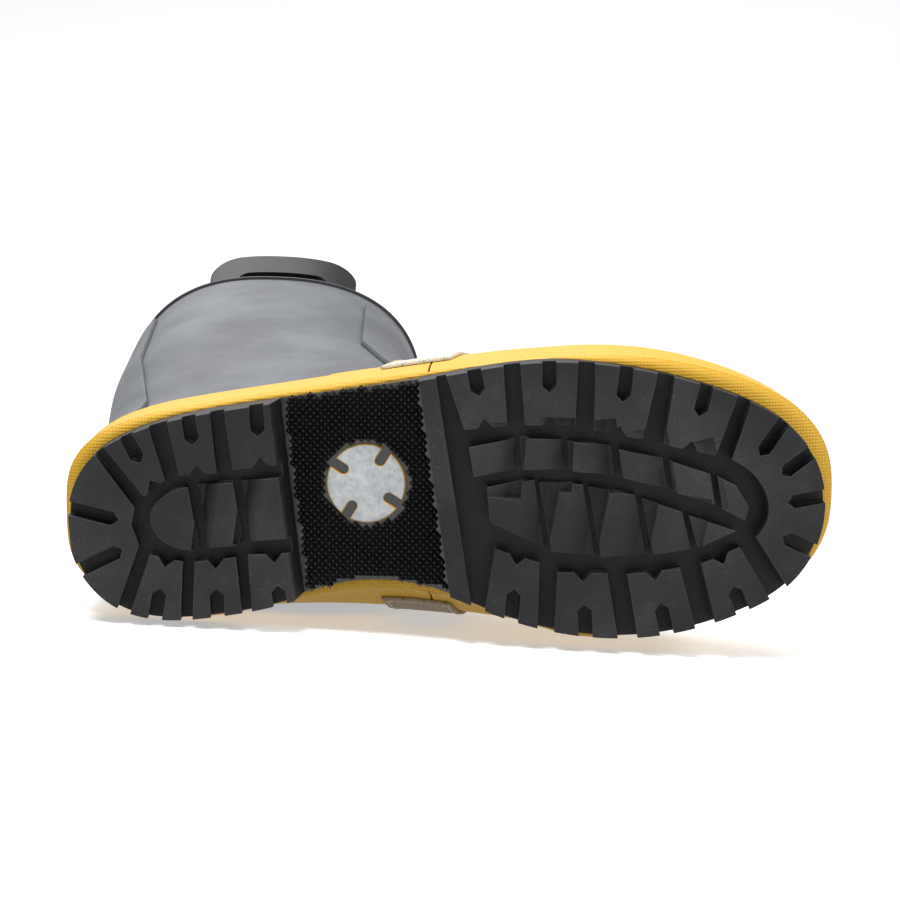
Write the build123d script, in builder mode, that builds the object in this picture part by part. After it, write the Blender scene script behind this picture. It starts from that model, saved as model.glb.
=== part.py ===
from build123d import *
from math import cos, hypot, pi, radians, sin
import os

# A right-foot firefighter's pull-on rubber boot, standing upright.
# X points to the toe, Y to the inner (medial) side of the foot, Z up, and
# the origin lies on the ground under the middle of the foot's length.
# Stations are millimetres forward of the back of the heel; "across" is
# millimetres from the centre line, positive to the medial side.

os.makedirs("parts", exist_ok=True)

# ---- driving dimensions ---------------------------------------------------
FOOT_LENGTH = 320.0        # outsole, heel to toe
RIM_HEIGHT = 357.0         # top of the shaft's rim binding
BINDING_HEIGHT = 5.0
LUG_DEPTH = 7.0
LUG_SLOT_WIDTH = 6.0
HEEL_TOP = 22.0            # top of the outsole under the heel
BALL_TOP = 15.0            # top of the outsole under the ball
SPRING_START = 225.0       # the toe curls up from here
SPRING_END = 326.0
SPRING_RISE = 13.5
BREAST_HEIGHT = 16.0       # underside of the shank at the heel breast
SHANK_AT_BALL = 9.0        # underside of the shank at the ball rib
SHELL_THICKNESS = 4.0      # rubber shaft and vamp
GUM_THICKNESS = 2.7        # foxing and toe guard
SKIN_GAP = 0.3             # clearance between curved layers
PAD_THICKNESS = 3.0        # felt and foam insulation
LINING_THICKNESS = 1.2
CAP_THICKNESS = 2.0        # steel toe cap
FILLER_THICKNESS = 3.0
PLATE_THICKNESS = 1.0      # puncture-resistant steel plate
BOARD_THICKNESS = 2.5
INSOLE_THICKNESS = 5.0
EMBLEM_RADIUS = 17.0
LOOP_TOP = 406.0           # top of the pull loops before they lean
LOOP_STATION = 66.0
LOOP_THICKNESS = 3.2
LOOP_LEG_CENTRE = 33.0     # each leg's distance from the loop's middle
LOOP_LEG_WIDTH = 16.0

# Depths of the layers, measured inward from the shell's outer face.
PAD_DEPTH = SHELL_THICKNESS + SKIN_GAP
LINING_DEPTH = PAD_DEPTH + PAD_THICKNESS + SKIN_GAP
LINING_INSIDE = LINING_DEPTH + LINING_THICKNESS
SHELL_TOP = RIM_HEIGHT - BINDING_HEIGHT


def at(station, across=0.0):
    """Point in plan (or in side view) of a station."""
    return (station - FOOT_LENGTH / 2, across)


def save(piece, name):
    piece.part.label = name
    export_step(piece.part, f"parts/{name}.step")


# ---- outsole outline --------------------------------------------------------
OUTLINE = [
    (-1, 8), (2, -9), (10, -20.5), (23, -28.5), (42, -35), (65, -39.5),
    (95, -44), (125, -48.5), (152, -53), (180, -58), (206, -60),
    (235, -57.5), (262, -51.5), (287, -42.5), (305, -31), (316.5, -15),
    (320, 4), (315.5, 22.5), (303, 38), (284, 48), (258, 55.5), (230, 58),
    (203, 55), (182, 49), (166, 42.5), (152, 37.5), (135, 34.8), (115, 36),
    (97, 41), (80, 45.5), (60, 48.8), (38, 50), (21, 46), (8, 36), (0.5, 22),
]
BREAST = Plane(origin=(84 - FOOT_LENGTH / 2, -42, 0), z_dir=(0.993, -0.117, -0.24))
RIB_BACK = Plane(origin=(147 - FOOT_LENGTH / 2, -51, 0), z_dir=(0.99, -0.142, 0))


def outline_face():
    with BuildLine() as edge:
        Spline([at(*point) for point in OUTLINE], periodic=True)
    make_face(edge.edges())


def polygon(points, mode=Mode.ADD):
    with BuildLine() as edge:
        Polyline([at(*point) for point in points], close=True)
    make_face(edge.edges(), mode=mode)


def curled_slab(low, high, heel_extra=0.0):
    """Slab between two heights at the ball that curls up at the toe.

    heel_extra is how much higher it lies under the heel.
    """
    with BuildPart() as slab:
        with BuildSketch(Plane.XZ):
            with BuildLine():
                for height in (low, high):
                    spring = at(SPRING_START, height)
                    heel = at(80, height + heel_extra)
                    Polyline(at(-40, height + heel_extra), heel, at(178, height), spring)
                    TangentArc(spring, at(SPRING_END + 20, height + SPRING_RISE + 6.5),
                               tangent=(1, 0))
                Line(at(-40, low + heel_extra), at(-40, high + heel_extra))
                Line(at(SPRING_END + 20, low + SPRING_RISE + 6.5),
                     at(SPRING_END + 20, high + SPRING_RISE + 6.5))
            make_face()
        extrude(amount=90, both=True)
    return slab.part


def sole_layer(low, high):
    """Slab between two heights above the outsole's upper face."""
    return curled_slab(BALL_TOP + low, BALL_TOP + high, HEEL_TOP - BALL_TOP)


# ---- tread lugs ---------------------------------------------------------------
def slot(outer, inner, width=LUG_SLOT_WIDTH):
    """Slot from an open outer end to a pointed inner end."""
    along = (Vector(*inner) - Vector(*outer)).normalized()
    side = Vector(-along.Y, along.X) * (width / 2)
    start = Vector(*outer)
    tip = Vector(*inner)
    neck = tip - along * (width * 0.45)
    corners = (start + side, neck + side, tip, neck - side, start - side)
    polygon([(corner.X, corner.Y) for corner in corners], mode=Mode.SUBTRACT)


def lug(outer_back, outer_front, inner_front, inner_back, reach=0.58):
    """Lug with a slot from its outer side and a notch in its inner side."""
    polygon([outer_back, outer_front, inner_front, inner_back])
    outer = (Vector(*outer_back) + Vector(*outer_front)) / 2
    inner = (Vector(*inner_back) + Vector(*inner_front)) / 2
    inward = inner - outer
    start = outer - inward * 0.2
    tip = outer + inward * reach
    slot((start.X, start.Y), (tip.X, tip.Y))
    notch = inner - inward.normalized() * 4.0
    edge = (Vector(*inner_front) - Vector(*inner_back)).normalized() * 4.2
    lip = inner + inward.normalized() * 0.8
    corners = (lip - edge, notch, lip + edge)
    polygon([(corner.X, corner.Y) for corner in corners], mode=Mode.SUBTRACT)


def ramp(station, across, turn, run, fall=4.5):
    """Wedge that turns one end of a tread pad into a slope."""
    with BuildPart() as wedge:
        with BuildSketch(Plane.XZ):
            with BuildLine():
                Polyline((-2, -2), (0, 0), (run, fall), (run * 1.4, fall),
                         (run * 1.4, -2), close=True)
            make_face()
        extrude(amount=16, both=True)
    return Location((*at(station, across), 0), (0, 0, turn)) * wedge.part


with BuildPart() as heel_lugs:
    with BuildSketch():
        # the back block, with two slots
        polygon([(8, -22), (11, -20), (27, 2), (25.5, 9), (28.5, 18), (17, 50),
                 (-10, 50), (-10, -22)])
        slot((-6, 0.5), (20, 7))
        slot((-2, 31), (21.5, 19.5))
        # lugs on the lateral side, then on the medial side
        lug((12, -27), (31.5, -38), (40, -10), (31, -3))
        lug((40, -40), (58.5, -44), (61.8, -13), (46, -12))
        lug((64.5, -44), (92, -48), (92, -17), (68.5, -14.5))
        lug((22, 54), (45.5, 54), (47, 25), (33, 22))
        lug((50.5, 54), (72.5, 54), (69.5, 23), (52, 25))
        lug((76.5, 54), (102, 54), (96, 21), (74.5, 22))
        # the D-shaped pad and two square pads in the middle
        with BuildLine():
            round_back = Spline(at(49.5, -7), at(39.5, -3.5), at(33.5, 5),
                                at(36.5, 14), at(44, 18.8), at(54, 19.5))
            Line(round_back @ 1, round_back @ 0)
        make_face()
        polygon([(54, -8), (68.5, -9), (72.5, 17.5), (57.5, 19)])
        polygon([(71.8, -9.5), (95, -12), (98, 14.5), (76, 16)])
    extrude(amount=LUG_DEPTH + 0.5)
    with BuildSketch():
        outline_face()
    extrude(amount=LUG_DEPTH + 0.5, mode=Mode.INTERSECT)
    add(ramp(61, 5, 8, -6), mode=Mode.SUBTRACT)
    add(ramp(80, 3, 8, -7), mode=Mode.SUBTRACT)

with BuildPart() as heel_tread:
    with BuildSketch(Plane.XY.offset(LUG_DEPTH)):
        outline_face()
    extrude(amount=40)
    add(curled_slab(-5, BALL_TOP, HEEL_TOP - BALL_TOP), mode=Mode.INTERSECT)
    add(heel_lugs.part)
    split(bisect_by=BREAST, keep=Keep.BOTTOM)
save(heel_tread, "heel_tread")

with BuildPart() as forefoot_lugs:
    with BuildSketch():
        # rib behind the ball of the foot
        polygon([(144, -70), (151.5, -70), (171.5, 60), (163, 60)])
        # lugs on the lateral side, then on the medial side
        lug((155, -64), (182, -64), (184, -33), (166, -31.5))
        lug((189, -66), (214, -66), (212.5, -33), (191.5, -33.5))
        lug((221, -64), (248.5, -61), (241, -27.5), (220.5, -31))
        lug((255.5, -60), (284, -53), (272, -20), (250, -25))
        lug((174, 52), (197, 60), (197.8, 25.5), (179, 19.5))
        lug((204, 62), (232, 62), (226.5, 30), (205.5, 29.5))
        lug((240.5, 62), (266.5, 62), (257.5, 28), (235, 30.5))
        lug((275, 60), (301, 50), (283, 19.5), (266.5, 26.5))
        # pads in the middle, in two rows that point to the toe
        polygon([(168, -24), (187.5, -27.5), (187, -14.5), (170, -11.5)])
        polygon([(189.5, -28), (207, -27), (208, -14.5), (190.5, -14.5)])
        polygon([(209.5, -26.5), (228, -24.5), (229.5, -12), (210.5, -14)])
        polygon([(231, -23), (249.5, -19), (252, -6), (233, -11)])
        polygon([(252.5, -18), (270, -12), (272, 1), (255, -4.5)])
        polygon([(273, -11), (281, -7), (286.5, 2), (285, 8), (275.5, 3)])
        polygon([(175.5, -7), (195.5, -10), (200, 19.5), (177, 8)])
        polygon([(197.5, -9), (216, -8), (221.5, 23), (203, 20.5)])
        polygon([(218.5, -7), (238, -3.5), (243, 22), (224, 23)])
        polygon([(241, -2), (258, 4), (262, 20), (246, 22)])
        polygon([(261, 5.5), (281, 12.5), (265, 19.5)])
        # the toe block, behind a horseshoe channel, with four slots
        with BuildLine():
            bow = Spline(at(279, -18), at(289, -11), at(295, 0.5), at(290, 15.5))
            Polyline(bow @ 1, at(310, 47), at(330, 47), at(330, -60),
                     at(293, -60), bow @ 0)
        make_face()
        slot((303.5, -37), (291, -19.5))
        slot((318, -23.5), (300.5, -11))
        slot((325, -2), (303.5, 1))
        slot((322, 25.5), (301.5, 15.5))
    extrude(amount=40)
    with BuildSketch():
        outline_face()
    extrude(amount=40, mode=Mode.INTERSECT)
    add(curled_slab(0, LUG_DEPTH + 0.5), mode=Mode.INTERSECT)
    # the upper-row pads slope down over their front halves
    for station, across, turn in ((176, -19, 5), (196.5, -21, 2), (216, -19, -6),
                                  (238.5, -15, -10), (259.5, -9, -13)):
        add(ramp(station, across, turn, 11), mode=Mode.SUBTRACT)
    for station, across in ((186, 4), (206.5, 7), (228, 8.5), (250, 11)):
        add(ramp(station, across, 11, 13), mode=Mode.SUBTRACT)

with BuildPart() as forefoot_tread:
    with BuildSketch():
        outline_face()
    extrude(amount=45)
    add(curled_slab(LUG_DEPTH, BALL_TOP), mode=Mode.INTERSECT)
    add(forefoot_lugs.part)
    split(bisect_by=RIB_BACK, keep=Keep.TOP)
    # the rounded shank meets the tread under the sole's upper face
    add(sole_layer(-40, 0), mode=Mode.INTERSECT)
save(forefoot_tread, "forefoot_tread")

# ---- shank, between the heel block and the ball rib ---------------------------
SHANK_SIDE = [(60, BREAST_HEIGHT + 1), (88, BREAST_HEIGHT), (150, SHANK_AT_BALL),
              (180, SHANK_AT_BALL - 2.5), (180, 40), (60, 40)]

with BuildPart() as shank_cover:
    with BuildSketch(Plane.XZ):
        polygon(SHANK_SIDE)
    extrude(amount=80, both=True)
    with BuildSketch():
        outline_face()
    extrude(amount=45, mode=Mode.INTERSECT)
    add(sole_layer(-40, 0), mode=Mode.INTERSECT)
    split(bisect_by=BREAST, keep=Keep.TOP)
    split(bisect_by=RIB_BACK, keep=Keep.BOTTOM)


# A round four-armed emblem is let into the underside of the shank.
EMBLEM = Plane(origin=(124.5 - FOOT_LENGTH / 2, -7, 12.2),
               x_dir=(62, 0, BREAST_HEIGHT * -1 + SHANK_AT_BALL),
               z_dir=(SHANK_AT_BALL - BREAST_HEIGHT, 0, -62))
EMBLEM_TURN = 13.0


def emblem_face(radius, notch):
    """Disc with four rounded notches between its arms."""
    with BuildSketch(mode=Mode.PRIVATE) as disc:
        Circle(radius)
        with PolarLocations(radius * 0.86, 4, start_angle=45 + EMBLEM_TURN):
            SlotOverall(radius * 0.62, notch, mode=Mode.SUBTRACT)
    return disc.sketch


with BuildPart() as emblem_backing:
    with BuildSketch(EMBLEM.offset(-1.6)):
        add(emblem_face(EMBLEM_RADIUS, 4.2))
    extrude(amount=2.9)
save(emblem_backing, "emblem_backing")

with BuildPart() as emblem_face_sheet:
    with BuildSketch(EMBLEM.offset(1.3)):
        add(emblem_face(EMBLEM_RADIUS - 0.5, 5.0))
    extrude(amount=0.5)
save(emblem_face_sheet, "emblem_reflector")

with BuildPart(mode=Mode.PRIVATE) as emblem_pocket:
    with BuildSketch(EMBLEM.offset(-1.6)):
        add(emblem_face(EMBLEM_RADIUS, 4.2))
    extrude(amount=12)

shank_cover.part = shank_cover.part - emblem_pocket.part
save(shank_cover, "shank_cover")


# ---- the foot form ("last") that every layer of the upper follows -----------------
# Each row is one closed loop round the boot, from the sole to the rim:
# heights at the back and front, stations of the back and front, half widths
# at heel and ball, shift of the heel and ball from the centre line, waist
# shift, how far the waist is tucked in on the inner side, and how far the
# front faces upward in degrees.
LAST_ROWS = [
    (6, 12, -1, 321, 46, 61, 7, -1, 0, 22, 0),
    (26, 30, -2, 322, 47.5, 62, 7, -1, 3, 13.5, 0),
    (46, 47, -2, 320, 47.5, 62.5, 7, -1, 2, 5.5, 12),
    (64, 65, -1, 308, 46, 57.5, 5, 0, 1, 0, 45),
    (84, 80, 1, 280, 44, 50, 4, 0, 0, 0, 66),
    (108, 92, 2, 243, 43, 45, 2, 0, 0, 0, 74),
    (134, 106, 0, 200, 45, 46, 0, 0, 0, 0, 64),
    (164, 134, -3, 161, 49, 48, 0, 0, 0, 0, 36),
    (206, 190, -7, 145, 55, 53, 0, 0, 0, 0, 8),
    (268, 264, -11, 142, 61, 59, 0, 0, 0, 0, 0),
    (366, 366, -16, 143, 67, 65, 0, 0, 0, 0, 0),
    (430, 430, -19, 144, 70, 68, 0, 0, 0, 0, 0),
]
LOOP_POINTS = 24


def last_loop(row, grow):
    """Plane and points of one loop, moved outward by grow."""
    back_z, front_z, back, front, heel_half, ball_half = row[:6]
    heel_shift, ball_shift, waist, tuck, rise = row[6:]
    front += grow * cos(radians(rise))
    front_z += grow * sin(radians(rise))
    back -= grow
    spread = grow * (1.0 + 0.12 * sin(radians(rise)))
    middle = (back + front) / 2
    half = (front - back) / 2
    tilt = (front_z - back_z) / (front - back)
    upward = min(1.0, back_z / 250)
    heel_power = 3.4 - 1.0 * upward
    toe_power = 2.6 - 0.2 * upward
    plane = Plane(origin=at(middle) + ((back_z + front_z) / 2,), x_dir=(1, 0, tilt),
                  z_dir=(-tilt, 0, 1))
    points = []
    for step in range(LOOP_POINTS):
        turn = 2 * pi * step / LOOP_POINTS
        power = toe_power if cos(turn) > 0 else heel_power
        along = abs(cos(turn)) ** (2 / power) * (1 if cos(turn) > 0 else -1)
        side = abs(sin(turn)) ** (2 / power) * (1 if sin(turn) > 0 else -1)
        blend = min(1.0, max(0.0, (along + 0.6) / 1.2))
        blend = blend * blend * (3 - 2 * blend)
        width = heel_half + (ball_half - heel_half) * blend + spread
        shift = heel_shift + (ball_shift - heel_shift) * blend
        shift -= waist * max(0.0, 1 - ((along + 0.2) / 0.45) ** 2)
        shift -= tuck * max(0.0, side) * max(0.0, 1 - ((along + 0.15) / 0.55) ** 2) ** 2
        points.append((along * half * hypot(1, tilt), shift + side * width))
    return plane, points


def last_solid(grow=0.0):
    """The boot's form as one solid, moved outward by grow."""
    with BuildPart() as form:
        for row in LAST_ROWS:
            plane, points = last_loop(row, grow)
            with BuildSketch(plane):
                with BuildLine():
                    Spline(points, periodic=True)
                make_face()
        loft(ruled=True)
    return form.part


def layer(outer, inner, base=0.0, top=SHELL_TOP):
    """Wall between two outward offsets, from the sole up to a height."""
    with BuildPart() as wall:
        add(last_solid(outer))
        add(last_solid(inner), mode=Mode.SUBTRACT)
        add(sole_layer(-60, base), mode=Mode.SUBTRACT)
        with BuildSketch(Plane.XY.offset(top)):
            Rectangle(500, 300)
        extrude(amount=120, mode=Mode.SUBTRACT)
    return wall.part


def plate(low, high, inset):
    """Flat layer inside the boot that follows the sole's upper face."""
    with BuildPart() as sheet:
        add(last_solid(-inset))
        add(sole_layer(low, high), mode=Mode.INTERSECT)
    return sheet.part


def side_region(points, side=0):
    """Solid of a side-view outline; side -1 or 1 keeps one half of it."""
    with BuildPart() as region:
        with BuildSketch(Plane.XZ):
            polygon(points)
        extrude(amount=90, both=True)
        if side:
            split(bisect_by=Plane(origin=(0, side * 12, 0), z_dir=(0, side, 0)))
    return region.part


# ---- rubber upper and what is bonded to it -------------------------------------------
with BuildPart() as upper_shell:
    add(layer(0, -SHELL_THICKNESS))
save(upper_shell, "upper_shell")

GUM_OUTSIDE = SKIN_GAP + GUM_THICKNESS
WRAP_THICKNESS = 2.6       # the gum band's foot, wrapped under the upper's edge

with BuildPart() as gum_ring:
    add(last_solid(GUM_OUTSIDE))
    add(sole_layer(-WRAP_THICKNESS, 0), mode=Mode.INTERSECT)
    with BuildSketch():
        outline_face()
    extrude(amount=60, mode=Mode.SUBTRACT)
    add(layer(GUM_OUTSIDE, SKIN_GAP))

with BuildPart() as foxing_band:
    add(gum_ring.part)
    add(side_region([(-30, 0), (149, 0), (156, 88), (136, 84), (130, 66),
                     (108, 60), (107, 54), (20, 54), (-30, 56)]), mode=Mode.INTERSECT)
save(foxing_band, "foxing_band")

with BuildPart() as toe_guard:
    add(gum_ring.part)
    add(side_region([(150, 0), (157, 90), (176, 97), (226, 118), (340, 118),
                     (340, 0)]), mode=Mode.INTERSECT)
save(toe_guard, "toe_guard")

with BuildPart() as backstay:
    add(layer(SKIN_GAP + 2.0, SKIN_GAP))
    add(side_region([(-30, 57), (21, 55), (22, 100), (9, 190), (1, 330),
                     (-30, 330)]), mode=Mode.INTERSECT)
save(backstay, "backstay")

with BuildPart() as shin_guard:
    add(layer(SKIN_GAP + 2.0, SKIN_GAP))
    add(side_region([(150, 160), (128, 176), (116, 200), (114, 320), (170, 320),
                     (170, 150)]), mode=Mode.INTERSECT)
save(shin_guard, "shin_guard")

PATCH_OUTLINE = [(130, 36), (160, 33), (172, 79), (140, 82)]
for side, name in ((-1, "lateral_patch"), (1, "medial_patch")):
    with BuildPart() as patch:
        add(layer(GUM_OUTSIDE + SKIN_GAP + 1.2, GUM_OUTSIDE + SKIN_GAP))
        add(side_region(PATCH_OUTLINE, side), mode=Mode.INTERSECT)
    save(patch, name)

with BuildPart() as rim_binding:
    add(layer(1.6, -LINING_INSIDE, top=RIM_HEIGHT))
    add(side_region([(-40, SHELL_TOP), (200, SHELL_TOP), (200, 380), (-40, 380)]),
        mode=Mode.INTERSECT)
save(rim_binding, "rim_binding")

# ---- inner layers -----------------------------------------------------------------------
SHIN_PAD_REGION = [(112, 172), (170, 172), (170, 318), (112, 318)]
LEG_SPLIT = 122.0          # height where the foot padding meets the leg padding
CAP_BACK = 262.0           # back edge of the steel toe cap

with BuildPart() as leg_insulation:
    add(layer(-PAD_DEPTH, -PAD_DEPTH - PAD_THICKNESS, FILLER_THICKNESS))
    add(side_region([(-40, LEG_SPLIT), (200, LEG_SPLIT), (200, 380), (-40, 380)]),
        mode=Mode.INTERSECT)
    add(side_region(SHIN_PAD_REGION), mode=Mode.SUBTRACT)
save(leg_insulation, "leg_insulation")

with BuildPart() as shin_pad:
    add(layer(-PAD_DEPTH, -PAD_DEPTH - PAD_THICKNESS, FILLER_THICKNESS))
    add(side_region(SHIN_PAD_REGION), mode=Mode.INTERSECT)
save(shin_pad, "shin_pad")

with BuildPart() as foot_insulation:
    add(layer(-PAD_DEPTH, -PAD_DEPTH - PAD_THICKNESS, FILLER_THICKNESS, LEG_SPLIT))
    add(side_region([(-20, 0), (CAP_BACK - 6, 0), (CAP_BACK - 6, 130), (-20, 130)]),
        mode=Mode.INTERSECT)
save(foot_insulation, "foot_insulation")

with BuildPart() as cap_edge_strip:
    add(layer(-PAD_DEPTH, -PAD_DEPTH - PAD_THICKNESS, FILLER_THICKNESS))
    add(side_region([(CAP_BACK - 5.8, 0), (CAP_BACK - 0.2, 0), (CAP_BACK - 0.2, 130),
                     (CAP_BACK - 5.8, 130)]), mode=Mode.INTERSECT)
save(cap_edge_strip, "cap_edge_strip")

with BuildPart() as steel_toe_cap:
    add(layer(-PAD_DEPTH, -PAD_DEPTH - CAP_THICKNESS, FILLER_THICKNESS))
    add(side_region([(CAP_BACK, 0), (340, 0), (340, 130), (CAP_BACK, 130)]),
        mode=Mode.INTERSECT)
save(steel_toe_cap, "steel_toe_cap")

with BuildPart() as lining:
    add(layer(-LINING_DEPTH, -LINING_INSIDE, FILLER_THICKNESS))
save(lining, "lining")

# ---- sole pack, from the outsole up to the foot ----------------------------------------
SHANK_SLOTS = 4
with BuildPart() as steel_shank:
    with BuildSketch():
        with BuildLine():
            Polyline(at(58, -8), at(58, 18), at(172, 13), at(172, -17), close=True)
        make_face()
        for step in range(SHANK_SLOTS):
            with Locations(at(76 + 26 * step, 3 - 1.5 * step)):
                RectangleRounded(18, 11, 4, rotation=-2, mode=Mode.SUBTRACT)
    extrude(amount=60)
    add(sole_layer(0.6, 2.4), mode=Mode.INTERSECT)
save(steel_shank, "steel_shank")

with BuildPart() as midsole_filler:
    add(plate(0, FILLER_THICKNESS, PAD_DEPTH))
    add(steel_shank.part, mode=Mode.SUBTRACT)
save(midsole_filler, "midsole_filler")

PLATE_BOTTOM = FILLER_THICKNESS
BOARD_BOTTOM = PLATE_BOTTOM + PLATE_THICKNESS
INSOLE_BOTTOM = BOARD_BOTTOM + BOARD_THICKNESS
with BuildPart() as puncture_plate:
    add(plate(PLATE_BOTTOM, BOARD_BOTTOM, LINING_INSIDE + 0.4))
save(puncture_plate, "puncture_plate")

with BuildPart() as insole_board:
    add(plate(BOARD_BOTTOM, INSOLE_BOTTOM, LINING_INSIDE + 0.4))
save(insole_board, "insole_board")

with BuildPart() as insole:
    add(plate(INSOLE_BOTTOM + SKIN_GAP, INSOLE_BOTTOM + SKIN_GAP + INSOLE_THICKNESS,
              LINING_INSIDE + 4.5))
save(insole, "insole")

# ---- pull loops ---------------------------------------------------------------------------
# Each loop is a two-legged strap bonded to the inside of the shaft's top. Its
# legs bend about an axis just above the rim.
LOOP_INSET = LINING_INSIDE + SKIN_GAP
LOOP_AXIS = Vector(LOOP_STATION - FOOT_LENGTH / 2, 53.0, RIM_HEIGHT + 2.0)
LOOP_BASE = LOOP_AXIS.Z + 2.0
LOOP_LEAN = 20.0           # degrees that the loop leans outward at rest
ANCHOR_DEPTH = 30.0
LEG_OUTSIDE = LOOP_LEG_CENTRE + LOOP_LEG_WIDTH / 2
LEG_INSIDE = LOOP_LEG_CENTRE - LOOP_LEG_WIDTH / 2


def arch(half_width, base, top, corner):
    """Side-view outline of an arch about the loop's middle station."""
    half = [(half_width, base), (half_width, top - corner),
            (half_width - corner * 0.3, top - corner * 0.35),
            (half_width - corner, top)]
    right = [(LOOP_STATION + x, z) for x, z in half]
    left = [(LOOP_STATION - x, z) for x, z in reversed(half)]
    return right + left


for side, name in ((-1, "lateral"), (1, "medial")):
    with BuildPart() as wall_strip:
        add(last_solid(-LOOP_INSET))
        add(last_solid(-LOOP_INSET - LOOP_THICKNESS), mode=Mode.SUBTRACT)
        split(bisect_by=Plane(origin=(0, side * 12, 0), z_dir=(0, side, 0)))

    with BuildPart() as loop_anchor:
        add(wall_strip.part)
        add(side_region(arch(LEG_OUTSIDE, SHELL_TOP - ANCHOR_DEPTH, RIM_HEIGHT - 0.5, 0.5)),
            mode=Mode.INTERSECT)
    save(loop_anchor, f"{name}_loop_anchor")

    with BuildPart() as strap:
        add(wall_strip.part)
        add(side_region(arch(LEG_OUTSIDE, LOOP_BASE, LOOP_TOP, 16)), mode=Mode.INTERSECT)
        add(side_region(arch(LEG_INSIDE, LOOP_BASE - 5, LOOP_TOP - 20, 7)),
            mode=Mode.SUBTRACT)
    hinge_line = Axis(origin=(LOOP_AXIS.X, side * LOOP_AXIS.Y, LOOP_AXIS.Z),
                      direction=(1, 0, 0))
    with BuildPart() as pull_loop:
        add(strap.part.rotate(hinge_line, -side * LOOP_LEAN))
    save(pull_loop, f"{name}_pull_loop")
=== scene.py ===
from math import atan2, cos, hypot, pi, radians, sin

import bmesh
import bpy
from mathutils import Matrix, Vector


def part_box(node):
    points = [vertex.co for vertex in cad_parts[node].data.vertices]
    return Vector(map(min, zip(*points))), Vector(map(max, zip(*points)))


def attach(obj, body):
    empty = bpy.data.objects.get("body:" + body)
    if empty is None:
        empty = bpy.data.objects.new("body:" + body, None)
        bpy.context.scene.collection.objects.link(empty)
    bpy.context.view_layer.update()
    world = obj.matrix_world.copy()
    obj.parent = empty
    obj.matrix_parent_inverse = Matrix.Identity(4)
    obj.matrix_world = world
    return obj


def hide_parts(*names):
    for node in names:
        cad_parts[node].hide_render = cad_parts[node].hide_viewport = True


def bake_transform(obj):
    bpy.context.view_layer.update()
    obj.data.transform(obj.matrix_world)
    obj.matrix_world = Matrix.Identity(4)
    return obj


bl_info = {
    "name": "Firefighter's Rubber Boot",
    "version": (1, 0, 0),
    "blender": (4, 5, 0),
    "location": "View3D > Sidebar > Boot",
    "description": "Builds a lugged rubber firefighter's boot on its packed frame",
    "category": "Object",
}

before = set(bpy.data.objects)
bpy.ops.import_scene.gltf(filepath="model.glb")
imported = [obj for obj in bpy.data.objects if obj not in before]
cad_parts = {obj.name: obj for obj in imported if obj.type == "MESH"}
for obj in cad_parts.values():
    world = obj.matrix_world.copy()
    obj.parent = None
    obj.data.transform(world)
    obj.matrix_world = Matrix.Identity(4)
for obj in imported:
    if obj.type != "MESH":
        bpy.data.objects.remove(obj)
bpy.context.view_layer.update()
MM = 0.001

# ---- sizes ------------------------------------------------------------------------
# All the sizes below are in millimetres. A station is the distance along the
# foot from the back of the heel, and across is positive toward the inner side.
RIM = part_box("rim_binding")[1][2] / MM
SHELL_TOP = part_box("upper_shell")[1][2] / MM
HEEL_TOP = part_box("heel_tread")[1][2] / MM
HALF_LENGTH = 160.0
BALL_TOP = 15.0
SPRING_START = 225.0
SPRING_RADIUS = (121.0 ** 2 + 20.0 ** 2) / 40.0
GUM_OUTSIDE = 3.0
WRAP_THICKNESS = 2.6
LINING_INSIDE = 8.8

# ---- the foot form: one closed loop round the boot per row --------------------------
# Height at back and front, station of back and front, half width at heel and
# ball, shift of heel and ball, waist shift, tuck of the inner side of the waist,
# upward turn of the front in degrees.
FORM_ROWS = [
    (6, 12, -1, 321, 46, 61, 7, -1, 0, 22, 0),
    (26, 30, -2, 322, 47.5, 62, 7, -1, 3, 13.5, 0),
    (46, 47, -2, 320, 47.5, 62.5, 7, -1, 2, 5.5, 12),
    (64, 65, -1, 308, 46, 57.5, 5, 0, 1, 0, 45),
    (84, 80, 1, 280, 44, 50, 4, 0, 0, 0, 66),
    (108, 92, 2, 243, 43, 45, 2, 0, 0, 0, 74),
    (134, 106, 0, 200, 45, 46, 0, 0, 0, 0, 64),
    (164, 134, -3, 161, 49, 48, 0, 0, 0, 0, 36),
    (206, 190, -7, 145, 55, 53, 0, 0, 0, 0, 8),
    (268, 264, -11, 142, 61, 59, 0, 0, 0, 0, 0),
    (366, 366, -16, 143, 67, 65, 0, 0, 0, 0, 0),
    (430, 430, -19, 144, 70, 68, 0, 0, 0, 0, 0),
]
OUTLINE = [
    (-1, 8), (2, -9), (10, -20.5), (23, -28.5), (42, -35), (65, -39.5),
    (95, -44), (125, -48.5), (152, -53), (180, -58), (206, -60),
    (235, -57.5), (262, -51.5), (287, -42.5), (305, -31), (316.5, -15),
    (320, 4), (315.5, 22.5), (303, 38), (284, 48), (258, 55.5), (230, 58),
    (203, 55), (182, 49), (166, 42.5), (152, 37.5), (135, 34.8), (115, 36),
    (97, 41), (80, 45.5), (60, 48.8), (38, 50), (21, 46), (8, 36), (0.5, 22),
]
ROUND_STEPS = 168


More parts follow.
